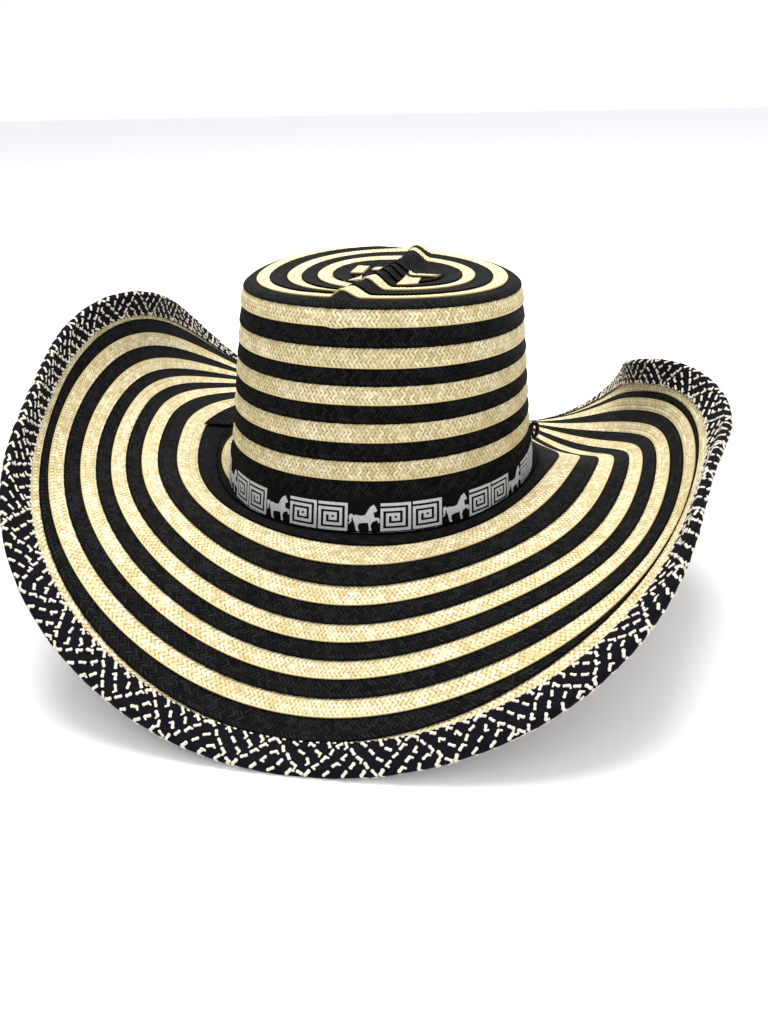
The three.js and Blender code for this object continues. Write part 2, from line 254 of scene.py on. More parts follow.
def fold_angle(end):
    """Angle round the crown's top, about its shifted middle, of one end of the fold."""
    middle = np.array(LEAN) * CROWN_HEIGHT + fold_shift()
    to = np.array(FOLD[end], float) - middle
    rim_width = HALF_WIDTH - WIDTH_TAPER * CROWN_HEIGHT
    rim_depth = HALF_DEPTH - DEPTH_TAPER * CROWN_HEIGHT
    return math.atan2(to[1] * rim_width, to[0] * rim_depth) % TURN


WALL_TOP = CROWN_HEIGHT - BEND_RADIUS
BEND_LENGTH = BEND_RADIUS * math.pi / 2


def crown_base(angle, drop):
    """The crown's outer face. drop is 0 at the top's rim, and grows over the bend and down the wall."""
    bend = math.pi / 2 - np.clip(drop / BEND_RADIUS, 0, math.pi / 2)
    down = np.maximum(0, drop - BEND_LENGTH)
    height = WALL_TOP - down + BEND_RADIUS * np.sin(bend)
    share = np.maximum(0.0, 1 + np.minimum(0, drop) / TOP_SPAN)
    tapered = np.minimum(height, WALL_TOP)
    inset = BEND_RADIUS * (1 - np.cos(bend))
    x, y = oval(angle, HALF_WIDTH - WIDTH_TAPER * tapered - inset, HALF_DEPTH - DEPTH_TAPER * tapered - inset)
    shift = fold_shift()
    x = x * share + LEAN[0] * height + shift[0] * (1 - share)
    y = y * share + LEAN[1] * height + shift[1] * (1 - share)
    fold = fold_height(x, y) * np.maximum(0, 1 - down / FOLD["wall_reach"])
    side = np.where(drop < 0, 0, np.cos(bend))
    nx, ny = outward(angle)
    saddle = ROW_TILT["saddle"] * np.cos(2 * angle) + ROW_TILT["twist"] * np.sin(2 * angle)
    tilt = (ROW_TILT["x"] * x + ROW_TILT["y"] * y + saddle * share ** 2) * height / ROW_TILT["height"]
    z = BASE_HEIGHT + height + tilt + fold * (1 - side)
    return np.stack([x + nx * fold * side, y + ny * fold * side, z], -1)


def crown_place(angle, drop, above):
    turn = math.radians(0.3)
    along = crown_base(angle, drop + 0.5) - crown_base(angle, drop - 0.5)
    around = crown_base(angle + turn, drop) - crown_base(angle - turn, drop)
    return crown_base(angle, drop) + unit(np.cross(along, around)) * above[..., None]


def drop_at(height):
    """The drop of a height above the crown's foot."""
    if height > WALL_TOP:
        return BEND_RADIUS * math.acos((height - WALL_TOP) / BEND_RADIUS)
    return BEND_LENGTH + WALL_TOP - height


# Brim

SECTIONS = {name: np.array(column, float) for name, column in zip(BRIM_COLUMNS, zip(*BRIM_SECTIONS))}


def blend(angle, name):
    """Smooth periodic curve through the twelve sections."""
    count = len(BRIM_SECTIONS)
    turn = angle[..., None] - np.radians(SECTIONS["angle"])
    half = np.sin(turn / 2)
    flat = np.abs(half) < 1e-9
    weights = np.sin(count * turn / 2) * np.cos(turn / 2) / (count * np.where(flat, 1, half))
    return np.where(flat, 1, weights) @ SECTIONS[name]


def brim_profile(angle):
    """The brim's width, and how far out and up its upper face is at even steps along it."""
    t = (np.arange(PROFILE_STEPS) + 0.5) / PROFILE_STEPS
    slope = 0
    for i, station in enumerate(STATIONS):
        weight = math.comb(4, i) * t ** i * (1 - t) ** (4 - i)
        slope = slope + np.radians(blend(angle, station))[:, None] * weight
    width = blend(angle, "width")
    step = width[:, None] / PROFILE_STEPS
    start = np.zeros((len(angle), 1))
    out = np.hstack([start, np.cumsum(step * np.cos(slope), 1)])
    up = np.hstack([start, np.cumsum(step * np.sin(slope), 1)])
    return width, out, up


def brim_grid():
    """The brim's upper face at even angles and steps outwards: points, normals and outward directions."""
    angle = np.arange(BRIM_ANGLES) * TURN / BRIM_ANGLES
    _, out, up = brim_profile(angle)
    x, y = oval(angle, HALF_WIDTH, HALF_DEPTH)
    nx, ny = outward(angle)
    points = np.stack([x[:, None] + nx[:, None] * out, y[:, None] + ny[:, None] * out, BASE_HEIGHT + up], -1)
    along = np.gradient(points, axis=1)
    normal = np.cross(along, np.roll(points, -1, 0) - np.roll(points, 1, 0))
    return np.concatenate([points, unit(normal), unit(along)], -1)


BRIM_GRID = brim_grid()


def brim_frame(angle, distance):
    """Point, normal and outward direction on the brim's upper face, a distance out from the crown."""
    angle, distance = np.broadcast_arrays(angle, distance)
    width = blend(angle, "width")
    turn = np.mod(angle, TURN) / TURN * BRIM_ANGLES
    step = np.clip(distance / width, 0, 1) * PROFILE_STEPS
    i = np.minimum(turn.astype(int), BRIM_ANGLES - 1)
    j = np.minimum(step.astype(int), PROFILE_STEPS - 1)
    a, b = (turn - i)[..., None], (step - j)[..., None]

    def mixed(i):
        return BRIM_GRID[i, j] * (1 - b) + BRIM_GRID[i, j + 1] * b

    found = mixed(i) * (1 - a) + mixed((i + 1) % BRIM_ANGLES) * a
    beyond = distance - np.clip(distance, 0, width)
    return found[..., :3] + found[..., 6:] * beyond[..., None], found[..., 3:6], found[..., 6:]


def brim_place(angle, distance, above):
    point, normal, _ = brim_frame(angle, distance)
    return point + normal * above[..., None]


# Meshes

class Body:
    """Closed bands of quads, gathered into one mesh."""

    def __init__(self):
        self.points, self.corners, self.sizes, self.maps, self.round = [], [], [], [], []
        self.count = 0

    def band(self, points, maps=None, ring=True):
        """points[row][column]. The rows always join up; the columns join up in a ring, or end in caps."""
        rows, columns = points.shape[:2]
        spans = columns if ring else columns - 1
        r = np.repeat(np.arange(rows), spans)
        c = np.tile(np.arange(spans), rows)
        r2, c2 = (r + 1) % rows, (c + 1) % columns
        quads = np.stack([r * columns + c, r2 * columns + c, r2 * columns + c2, r * columns + c2], -1)
        flat = points.reshape(-1, 3)
        a, b, d, e = (flat - flat.mean(0))[quads].transpose(1, 0, 2)
        volume = np.einsum("ij,ij->", a, np.cross(b, d)) + np.einsum("ij,ij->", a, np.cross(d, e))
        if maps is None:
            maps = np.zeros((rows + 1, spans + 1, 2))
        grid = np.stack([maps[r, c], maps[r + 1, c], maps[r + 1, c + 1], maps[r, c + 1]], 1)
        if volume < 0:
            quads, grid = quads[:, ::-1], grid[:, ::-1]
        self.points.append(flat)
        self.corners.append((quads + self.count).ravel())
        self.maps.append(grid.reshape(-1, 2))
        self.sizes.append(np.full(len(quads), 4))
        self.round.append(np.ones(len(quads), bool))
        if not ring:
            for column, forward in ((0, volume >= 0), (columns - 1, volume < 0)):
                loop = np.arange(rows) * columns + column
                at = maps[:rows, min(column, spans)]
                if not forward:
                    loop, at = loop[::-1], at[::-1]
                self.corners.append(loop + self.count)
                self.maps.append(at)
                self.sizes.append(np.array([rows]))
                self.round.append(np.zeros(1, bool))
        self.count += len(flat)

    def raised(self, figure, top, bottom):
        """A flat figure with an upper and a lower side."""
        points, faces, rim = figure
        count = len(points)
        sides = np.stack([rim[:, 1], rim[:, 0], rim[:, 0] + count, rim[:, 1] + count], -1)
        doubled = np.concatenate([points, points])
        for corners in (faces, faces[:, ::-1] + count, sides):
            self.corners.append((corners + self.count).ravel())
            self.maps.append(doubled[corners.ravel()])
            self.sizes.append(np.full(len(corners), corners.shape[1]))
            self.round.append(np.zeros(len(corners), bool))
        self.points += [top, bottom]
        self.count += 2 * count

    def make(self, name, material, slot, replaced=()):
        points = (np.concatenate(self.points) + np.array(SHIFT)) * MM
        corners, sizes = np.concatenate(self.corners), np.concatenate(self.sizes)
        mesh = bpy.data.meshes.new(name)
        mesh.vertices.add(len(points))
        mesh.vertices.foreach_set("co", points.astype(np.float32).ravel())
        mesh.loops.add(len(corners))
        mesh.loops.foreach_set("vertex_index", corners.astype(np.int32))
        mesh.polygons.add(len(sizes))
        starts = np.concatenate([[0], np.cumsum(sizes)[:-1]])
        mesh.polygons.foreach_set("loop_start", starts.astype(np.int32))
        mesh.polygons.foreach_set("use_smooth", np.concatenate(self.round))
        layer = mesh.uv_layers.new(name="Braid")
        layer.uv.foreach_set("vector", np.concatenate(self.maps).astype(np.float32).ravel())
        mesh.update(calc_edges=True)
        mesh.validate()
        mesh.materials.append(material)
        piece = bpy.data.objects.new(name, mesh)
        bpy.context.scene.collection.objects.link(piece)
        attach(piece, "root")
        if replaced:
            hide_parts(*replaced)
        return piece


# Braids

def smooth(low, high, value):
    t = np.clip((value - low) / (high - low), 0, 1)
    return t * t * (3 - 2 * t)


def pingpong(value, scale):
    return scale - np.abs(np.mod(value, 2 * scale) - scale)


def weave_height(along, back):
    """Height of the herringbone, 0 to 1, a way along the braid and a distance back from its outer edge."""
    rows = back - LAY["cord"]
    zigzag = pingpong(rows, WEAVE["row"]) / WEAVE["row"]
    float_edge = pingpong(along / WEAVE["pitch"] + WEAVE["slant"] * zigzag, 0.5)
    row_edge = pingpong(rows, WEAVE["row"] / 2)
    return smooth(0, 0.35, float_edge) * (0.4 + 0.6 * smooth(0, 0.7, row_edge))


def braid_rows(width, fineness):
    """Rows round a braid, as (share of its width, millimetres added, height added, weave's strength)."""
    count = max(3, round((width - LAY["cord"]) / fineness))
    rows = [(0, -LAY["tuck"], 0, 0), (0, -0.4, 0, 0)]
    rows += [(k / count, -LAY["cord"] * k / count, 0, 1) for k in range(1, count)]
    rows += [(1, -LAY["cord"], 0, 0.4), (1, -0.6, 0.14, 0), (1, -0.3, 0.16, 0)]
    rows += [(1, -0.08, 0, 0), (1, 0, -0.3, 0)]
    return rows + [(1, -0.2, -LAY["thickness"], 0), (0, -LAY["tuck"], -LAY["thickness"], 0)]


def closed_map(maps, length=None):
    """A map's rows and its first row again, and for a ring its first column again, a length further on."""
    grid = np.stack(maps + maps[:1])
    if length is None:
        return grid
    last = grid[:, :1].copy()
    last[..., 0] = length
    return np.concatenate([grid, last], 1)


def add_braid(body, place, span, inner, outer, kind):
    """One turn, or part of a turn, of braid. span gives the angles of a row, or None for a whole ring."""
    fineness, step = FINENESS[kind]
    sample = np.linspace(0, TURN, 91)[:-1] if span is None else span(0.5, np.linspace(0, 1, 60))
    width = float(np.mean(outer(sample) - inner(sample)))
    middle = place(sample, (inner(sample) + outer(sample)) / 2, np.zeros_like(sample))
    if span is None:
        middle = np.vstack([middle, middle[:1]])
    length = float(np.linalg.norm(np.diff(middle, axis=0), axis=1).sum())
    columns = max(8, round(length / step))
    weave_length = max(1, round(length / WEAVE["repeat"])) * WEAVE["repeat"]
    t = np.arange(columns) / columns if span is None else np.linspace(0, 1, columns)
    along = t * weave_length
    wavy = WEAVE["ragged"] * np.abs(np.sin(math.pi * along / WEAVE["pitch"]))
    layers, maps = [], []
    for share, added, raised, strength in braid_rows(width, fineness):
        angle = t * TURN if span is None else span(share, t)
        low, high = inner(angle), outer(angle)
        ragged = share == 1 and added > -0.5 and raised > -LAY["thickness"]
        distance = low + share * (high - low) + added + (wavy if ragged else 0)
        part = np.clip((distance - low) / np.maximum(high - low, 0.5), -0.3, 1)
        back = high - distance
        relief = WEAVE["relief"] * weave_height(along, back) if kind == "cream" else ribs(back)
        above = LAY["inner"] + LAY["rise"] * part + raised + strength * relief
        layers.append(place(angle, distance, above))
        maps.append(np.stack([along, back], -1))
    grid = closed_map(maps, weave_length if span is None else None)
    body.band(np.stack(layers), grid, ring=span is None)


def ribs(back):
    """Lengthwise ribs of a black braid."""
    return RIBS["height"] * smooth(0.0, 0.9, pingpong(back - LAY["cord"], RIBS["step"]))


def drift_table():
    """The drift at every degree, with its corners rounded off."""
    degrees = np.arange(361)
    window = np.hanning(2 * DRIFT_ROUNDING + 1)
    values = np.interp(np.arange(-DRIFT_ROUNDING, 361 + DRIFT_ROUNDING) % 360, *zip(*DRIFT))
    return np.radians(degrees), np.convolve(values, window / window.sum(), "valid")


DRIFT_TABLE = drift_table()


def edge_at(share):
    left = max(0.0, 1 - share / DRIFT_REACH) if share > 0 else 0.0

    def edge(angle):
        return share * blend(angle, "width") + left * np.interp(np.mod(angle, TURN), *DRIFT_TABLE)
    return edge


def brim_edges():
    """Kind, inner edge and outer edge of every braid on the brim, from the crown outwards."""
    shares = [share for pair in BRIM_BLACK for share in pair]
    edges = [edge_at(share) for share in (shares[0], FIRST_BRAID, *shares[1:-1])]
    edges += [last_black, lambda angle: blend(angle, "width") - LAST_GAP]
    kinds = ["black"] + ["black", "cream"] * len(BRIM_BLACK)
    return list(zip(kinds, edges, edges[1:]))


def last_black(angle):
    """Outer edge of the last black braid, where the last cream one comes out from under it."""
    return blend(angle, "width") - BINDING_WIDTH - np.maximum(blend(angle, "rim"), -1)


def make_brim(materials):
    bodies = {"cream": Body(), "cream outside": Body(), "black": Body()}
    for count, (kind, inner, outer) in enumerate(brim_edges()):
        far = kind == "cream" and count > len(BRIM_BLACK)
        add_braid(bodies["cream outside" if far else kind], brim_place, None, inner, outer, kind)
    add_sliver(bodies["cream"])
    for kind, name, slot in (("cream", "brim_cream_braid", "straw"),
                             ("cream outside", "brim_outer_cream_braid", "straw"),
                             ("black", "brim_black_braid", "black_straw")):
        bodies[kind].make(name, materials[slot], slot, ["brim"])


def top_drop(share):
    return (TOP_EDGE * share - 1) * TOP_SPAN


def top_ends(left):
    """Angles between which a half ring lies, on one side of the fold."""
    back, front = fold_angle("back"), fold_angle("front")
    return (back, front) if left else (front, back + TURN)


def top_edge(row, scale, left):
    """Edge of a braid on the crown's top, on one side of the fold, as a drop."""
    low, high = top_ends(left)
    first, middle, last = row if left else row[::-1]

    def edge(angle):
        t = np.clip((angle - low) / (high - low), 0, 1)
        side = np.sin(math.pi * t) ** 0.8
        ends = first * (1 - t) + last * t
        return top_drop((middle * side + ends * (1 - side)) * scale)
    return edge


def foot_angle(share, end):
    """Angle at which a ring of the crown's top meets the fold's left foot, near one end of the fold."""
    search = FOLD["foot_search"]
    angle = fold_angle(end) + np.radians(np.linspace(-search, search, 4 * search + 1))
    place = crown_base(angle, np.full_like(angle, top_drop(share)))
    beyond = fold_place(place[:, 0], place[:, 1])[1] + FOLD["left_width"] * FOLD["foot"]
    inward = 1 if end == "back" else -1
    crossings = np.flatnonzero(np.diff(np.sign(beyond * inward)) < 0)
    if len(crossings):
        return angle[crossings[np.abs(crossings - 2 * search).argmin()]]
    return angle[-1] if end == "back" else angle[0]


def top_span(left, inner, outer, inner_scale=1, outer_scale=1):
    """Angles of a half ring, from the fold's left foot at one end to it at the other."""
    def foot(end, share):
        low, high = (row[TOP_COLUMNS.index(end)] for row in (inner, outer))
        return foot_angle(low * inner_scale * (1 - share) + high * outer_scale * share, end)

    def span(share, t):
        low, high = foot("back", share), foot("front", share)
        if not left:
            low, high = high, low + TURN
        return low + (high - low) * t
    return span


def make_crown(materials):
    bodies = {"cream": Body(), "black": Body()}
    rim_low = drop_at(RIM_BLACK_LOW)
    left_rim = top_edge(TOP_LEFT[0], 1, True)

    def rim_inner(angle):
        back, front = top_ends(True)
        turned = np.mod(angle - back, TURN)
        wider = (left_rim(back + turned) - top_drop(1)) * smooth(0, math.radians(RIM_EASE), turned)
        return top_drop(1) + np.where(turned < front - back, wider, 0)

    def add(kind, inner, outer, span=None):
        add_braid(bodies[kind], crown_place, span, inner, outer, kind)

    add("black", rim_inner, even(rim_low))
    before = rim_low
    for pair in WALL_BLACK:
        high, low = (drop_at(height) for height in pair)
        add("cream", even(before), even(high))
        cuts = (high, (low + high) / 2, low) if low - high > ONE_BRAID else (high, low)
        for inner, outer in zip(cuts, cuts[1:]):
            add("black", even(inner), even(outer))
        before = low
    for left, table in ((True, TOP_LEFT), (False, TOP_RIGHT)):
        for k in range(len(table) - 1):
            kind = "cream" if k % 2 == 0 else "black"
            outer, inner = top_edge(table[k], 1, left), top_edge(table[k + 1], 1, left)
            add(kind, inner, outer, top_span(left, table[k + 1], table[k]))
        last = table[-1]
        for outer_scale, inner_scale in zip(MIDDLE_RINGS, MIDDLE_RINGS[1:]):
            outer, inner = top_edge(last, outer_scale, left), top_edge(last, inner_scale, left)
            add("black", inner, outer, top_span(left, last, last, inner_scale, outer_scale))
    add_patches(bodies["cream"])
    bodies["cream"].make("crown_cream_braid", materials["straw"], "straw", ["crown"])
    bodies["black"].make("crown_black_braid", materials["black_straw"], "black_straw", ["crown"])


def patch_place(corners, width):
    """Maps a share along a patch, and millimetres across it, to the crown's top."""
    a, b, c, d = (np.array(corner, float) for corner in corners)

    def place(t, distance, above):
        u, v = t[..., None], (distance / width)[..., None]
        plan = (a * (1 - u) + b * u) * (1 - v) + (d * (1 - u) + c * u) * v
        x, y = plan[..., 0], plan[..., 1]
        tilt = (ROW_TILT["x"] * x + ROW_TILT["y"] * y) * CROWN_HEIGHT / ROW_TILT["height"]
        z = BASE_HEIGHT + CROWN_HEIGHT + tilt + fold_height(x, y)
        return np.stack([x, y, z + above + PATCH_LIFT], -1)
    return place


def whole(share, t):
    return t


def add_patches(body):
    for corners in TOP_PATCHES:
        width = math.dist(corners[0], corners[3])
        add_braid(body, patch_place(corners, width), whole, even(0), even(width), "cream")


def even(value):
    return lambda angle: np.full_like(angle, value)


# Binding

def binding_place(angle, path, above):
    angle, path, above = np.broadcast_arrays(angle, path, above)
    past = np.clip(path - EDGE_FLAT, 0, EDGE_ARC)
    turn = past / EDGE["radius"]
    inward = np.maximum(path - EDGE_FLAT - EDGE_ARC, 0)
    distance = blend(angle, "width") - BINDING_WIDTH + np.minimum(path, EDGE_FLAT) - inward
    point, normal, along = brim_frame(angle, distance)
    reach = EDGE["radius"] + above
    out = reach * np.sin(turn)
    up = EDGE["face"] - EDGE["radius"] + reach * np.cos(turn)
    point = point + along * out[..., None] + normal * up[..., None]
    point[..., 2] = np.maximum(point[..., 2], 0)
    return point


def way_round(place):
    """Angles round the hat, and the millimetres from angle 0 to each."""
    angle = np.linspace(0, TURN, BRIM_ANGLES + 1)
    steps = np.linalg.norm(np.diff(place(angle), axis=0), axis=1)
    return angle, np.concatenate([[0], np.cumsum(steps)])


def strip_height(along, path):
    (ripple, short), (wave, long) = WAVES
    rise = ripple * np.sin(along * TURN / short) * np.sin(path * 0.7)
    return rise + wave * np.sin(along * TURN / long + path)


def stroke_marks(figures, unit_length, mirrored, random):
    """Middle, direction and half sizes of every white stroke on one side of the binding."""
    marks = []
    half_path = EDGE_PATH / 2
    step_x, step_path = 2 * unit_length, half_path

    def mark(x, path, turn, length, width):
        if mirrored:
            path, turn = EDGE_PATH - path, -turn
        marks.append((x, path, turn, length / 2, width / 2))

    length = math.hypot(step_x, step_path)
    for figure in range(figures):
        for lines, way in ((LINES_OUT, 1), (LINES_IN, -1)):
            for start, reach in lines:
                count = max(1, round(length * reach / STROKE["spacing"]))
                for k in range(count):
                    at = (k + 0.5) / count * reach
                    x = (figure * 4 + start) * unit_length + at * step_x
                    path = half_path * (1 - at) if way > 0 else half_path * at
                    turn = math.atan2(-way * step_path, step_x)
                    turn += math.radians(STROKE["turn"]) * random.uniform(-1, 1)
                    size = random.uniform(STROKE["smallest"], STROKE["largest"])
                    path = min(max(path, 1.2), half_path - 0.6)
                    thickness = random.uniform(STROKE["smallest"], STROKE["largest"])
                    mark(x, path, turn, STROKE["length"] * size, STROKE["width"] * thickness)
                    if random.random() < STROKE["tick"]:
                        end = STROKE["length"] * STROKE["tick_end"] * random.choice((-1, 1))
                        aside, side = turn + math.radians(STROKE["tick_turn"]), STROKE["tick_side"]
                        x += end * math.cos(turn) + side * math.cos(aside)
                        path += end * math.sin(turn) + side * math.sin(aside)
                        mark(x, max(0.6, path), aside, STROKE["tick_length"], STROKE["tick_width"])
        for tip in range(4):
            mark((figure * 4 + tip + 0.5) * unit_length, TIP[0], 0, TIP[1], TIP[2])
    return np.array(marks)


def make_binding(materials):
    angles, lengths = way_round(lambda angle: binding_place(angle, EDGE_FLAT / 2, 0))
    total = lengths[-1]
    figures = round(total / FIGURE)
    unit_length = total / figures / 4
    angle = np.arange(EDGE_STEPS) * TURN / EDGE_STEPS
    along = np.interp(angle, angles, lengths)
    scallop = EDGE["scallop"] * (1 - np.abs(np.sin(math.pi * along / unit_length)))
    arc = [EDGE_FLAT + EDGE_ARC * k / 8 for k in range(9)]
    outer = [*EDGE_ROWS, *arc, *(EDGE_PATH - path for path in EDGE_ROWS[::-1])]
    rows = [(scallop, -0.5)] + [(path + 0 * angle, strip_height(along, path)) for path in outer]
    rows += [(EDGE_PATH - scallop, -0.5)]
    rows += [(path + 0 * angle, -EDGE["thickness"]) for path in outer[::-2]]
    layers = [binding_place(angle, path, above) for path, above in rows]
    maps = [np.stack([along, path], -1) for path, above in rows]
    body = Body()
    body.band(np.stack(layers), closed_map(maps, total))
    body.make("edge_cloth", materials["binding"], "binding", ["edge_binding"])

    random = np.random.RandomState(SEED)
    body = Body()
    stations, section = np.array(STROKE_STATIONS), np.array(STROKE_SECTION)
    for mirrored in (False, True):
        marks = stroke_marks(figures, unit_length, mirrored, random)
        x, path, turn, half_length, half_width = (marks[:, i, None, None] for i in range(5))
        along_it = half_length * stations[:, 0]
        across_it = half_width * section[:, 0, None] * stations[:, 1]
        at = x + along_it * np.cos(turn) - across_it * np.sin(turn)
        over = path + along_it * np.sin(turn) + across_it * np.cos(turn)
        rise = np.broadcast_to(section[:, 1, None], at.shape)
        lengthwise = np.mod(at, total)
        rise = rise + strip_height(lengthwise, over)
        angle = np.interp(lengthwise, lengths, angles)
        points = binding_place(angle, np.clip(over, 0.1, EDGE_PATH - 0.1), rise)
        for k in range(len(points)):
            if points[k, ..., 2].min() > 0.3:
                near = np.stack([along_it[k].repeat(4, 0), across_it[k]], -1)
                near = np.concatenate([near, near[:1]])
                body.band(points[k], near, ring=False)
    body.make("edge_strokes", materials["thread"], "straw")


# Ribbon, loop and loose end

def ribbon_place(angle, height, above):
    angle, height, above = np.broadcast_arrays(angle, height, above)
    return crown_place(angle, BEND_LENGTH + WALL_TOP - height, RIBBON["face"] + above)


def outline_of(path, width):
    """Outline of a line of even width that turns at right angles."""
    path = np.array(path, float)
    ways = unit(np.diff(path, axis=0))
    left, right = [], []
    for i, point in enumerate(path):
        sides = {tuple(np.round(ways[k], 6)) for k in (max(i - 1, 0), min(i, len(ways) - 1))}
        offset = sum(np.array((-way[1], way[0])) for way in sides) * width / 2
        left.append(point + offset)
        right.append(point - offset)
    return right + left[::-1]


def spiral():
    """Centre line of a square spiral, from the left end of its top bar inwards."""
    edge, width, height, turns = KEY["line"] / 2, KEY["width"], KEY["height"], KEY["turns"]
    pitch_x, pitch_y = ((size - KEY["line"]) / (2 * turns - 1) for size in (width, height))
    path = [(0, height - edge)]
    for k in range(turns):
        left, right = edge + k * pitch_x, width - edge - k * pitch_x
        low, high = edge + k * pitch_y, height - edge - k * pitch_y
        path += [(right, high), (right, low), (left, low)]
        if k < turns - 1:
            path.append((left, high - pitch_y))
    path.append((left, low + pitch_y * 0.7))
    return path


def figure_of(outline, slice_width=1.5):
    """A flat figure cut into narrow slices: its points, its triangles and its rim."""
    mesh = bmesh.new()
    mesh.faces.new([mesh.verts.new((x, y, 0)) for x, y in outline])
    mesh.normal_update()
    bmesh.ops.triangulate(mesh, faces=mesh.faces[:])
    low, high = min(x for x, y in outline), max(x for x, y in outline)
    for cut in np.arange(low + slice_width, high, slice_width):
        everything = mesh.verts[:] + mesh.edges[:] + mesh.faces[:]
        bmesh.ops.bisect_plane(mesh, geom=everything, plane_co=(cut, 0, 0), plane_no=(1, 0, 0))
    bmesh.ops.triangulate(mesh, faces=mesh.faces[:])
    mesh.verts.index_update()
    points = np.array([tuple(v.co[:2]) for v in mesh.verts])
    faces = np.array([[v.index for v in face.verts] for face in mesh.faces])
    rim = [(loop.vert.index, loop.link_loop_next.vert.index)
           for face in mesh.faces for loop in face.loops if loop.edge.is_boundary]
    mesh.free()
    return points, faces, np.array(rim)


def ribbon_foot(angle):
    surface = brim_frame(angle, RIBBON["face"])[0][..., 2]
    return np.maximum(surface + RIBBON["gap"] - BASE_HEIGHT, RIBBON["low"])


def make_ribbon(materials):
    angles, lengths = way_round(lambda angle: ribbon_place(angle, 9, 0))
    angle = np.arange(720) * TURN / 720
    along = np.interp(angle, angles, lengths)
    foot = ribbon_foot(angle)
    back = RIBBON["back"] - RIBBON["face"]
    rows = [(0, -0.1), (0.02, 0), *((0.02 + 0.94 * k / 12, 0) for k in range(1, 12))]
    rows += [*RIBBON_EDGE, (1, back), (0.5, back), (0, back)]
    heights = [foot + (RIBBON["top"] - foot) * share for share, above in rows]
    layers = [ribbon_place(angle, height, above) for height, (share, above) in zip(heights, rows)]
    maps = [np.stack([along, height], -1) for height in heights]
    body = Body()
    body.band(np.stack(layers), closed_map(maps, lengths[-1]))
    body.make("ribbon", materials["ribbon"], "ribbon", ["hatband"])

    body = Body()
    key, horse = figure_of(outline_of(spiral(), KEY["line"])), figure_of(HORSE)

    def stamp(figure, shift):
        points = figure[0] + np.array([shift, PRINT_FOOT])
        at = np.interp(np.mod(points[:, 0], lengths[-1]), lengths, angles)
        height = np.maximum(points[:, 1], ribbon_foot(at) + 0.3)
        body.raised(figure, ribbon_place(at, height, RIBBON["print"]), ribbon_place(at, height, -0.2))

    for k in range(PRINT_COUNT):
        middle = PRINT_START + (k - PRINT_COUNT // 2) * PRINT_STEP
        stamp(key, middle - KEY["gap"] / 2 - KEY["width"])
        stamp(key, middle + KEY["gap"] / 2)
        stamp(horse, middle + (PRINT_STEP - HORSE_WIDTH) / 2)
    body.make("ribbon_figures", materials["print"], "ribbon")


def make_loop(materials):
    angle = np.array([math.radians(LOOP["angle"])])
    foot = crown_base(angle, np.array([drop_at(LOOP["height"])]))[0]
    nx, ny = (float(v[0]) for v in outward(angle))
    at = (np.arange(64) / 64 * TURN)[None, :]
    turn = (np.arange(14) / 14 * TURN)[:, None]

    def beside_foot(out, side, up):
        x, y = foot[0] + nx * out - ny * side, foot[1] + ny * out + nx * side
        return np.stack(np.broadcast_arrays(x, y, foot[2] + up), -1)

    thick = LOOP["radius"] * (0.9 + 0.1 * np.cos(turn + at * LOOP["twists"]) ** 2)
    out = LOOP["stand"] + (LOOP["wide"] + thick * np.cos(turn)) * np.cos(at)
    up = (LOOP["tall"] + thick * np.cos(turn)) * np.sin(at)
    body = Body()
    body.band(beside_foot(out, -thick * np.sin(turn), up))
    for lift in THREAD["turns"]:
        out = THREAD["out"] + THREAD["thick"] * np.cos(turn) + THREAD["deep"] * np.cos(at)
        body.band(beside_foot(out, THREAD["wide"] * np.sin(at), lift + THREAD["high"] * np.sin(turn)))
    body.make("cord_loop", materials["cord"], "ribbon", ["band_loop"])


def lifted(lift):
    return lambda angle, distance, above: brim_place(angle, distance, above + lift)


def make_tail(materials):
    def span(share, t):
        end = TAIL["inner_end"] + (TAIL["outer_end"] - TAIL["inner_end"]) * share ** 1.5
        return np.radians(TAIL["start"] + (end - TAIL["start"]) * t)

    body = Body()
    add_braid(body, lifted(TAIL["lift"]), span, even(TAIL["inner"]), even(TAIL["outer"]), "black")
    body.make("loose_braid_end", materials["black_straw"], "black_straw", ["braid_tail"])


def add_sliver(body):
    start, end = SLIVER["start"], SLIVER["end"]

    def span(share, t):
        return np.radians(start + (end - start) * t)

    def outer(angle):
        t = np.clip((np.degrees(angle) - start) / (end - start), 0, 1)
        return SLIVER["outer"] + SLIVER["swell"] * np.sin(math.pi * t) ** 0.8

    add_braid(body, lifted(SLIVER["lift"]), span, even(SLIVER["inner"]), outer, "cream")


# Materials

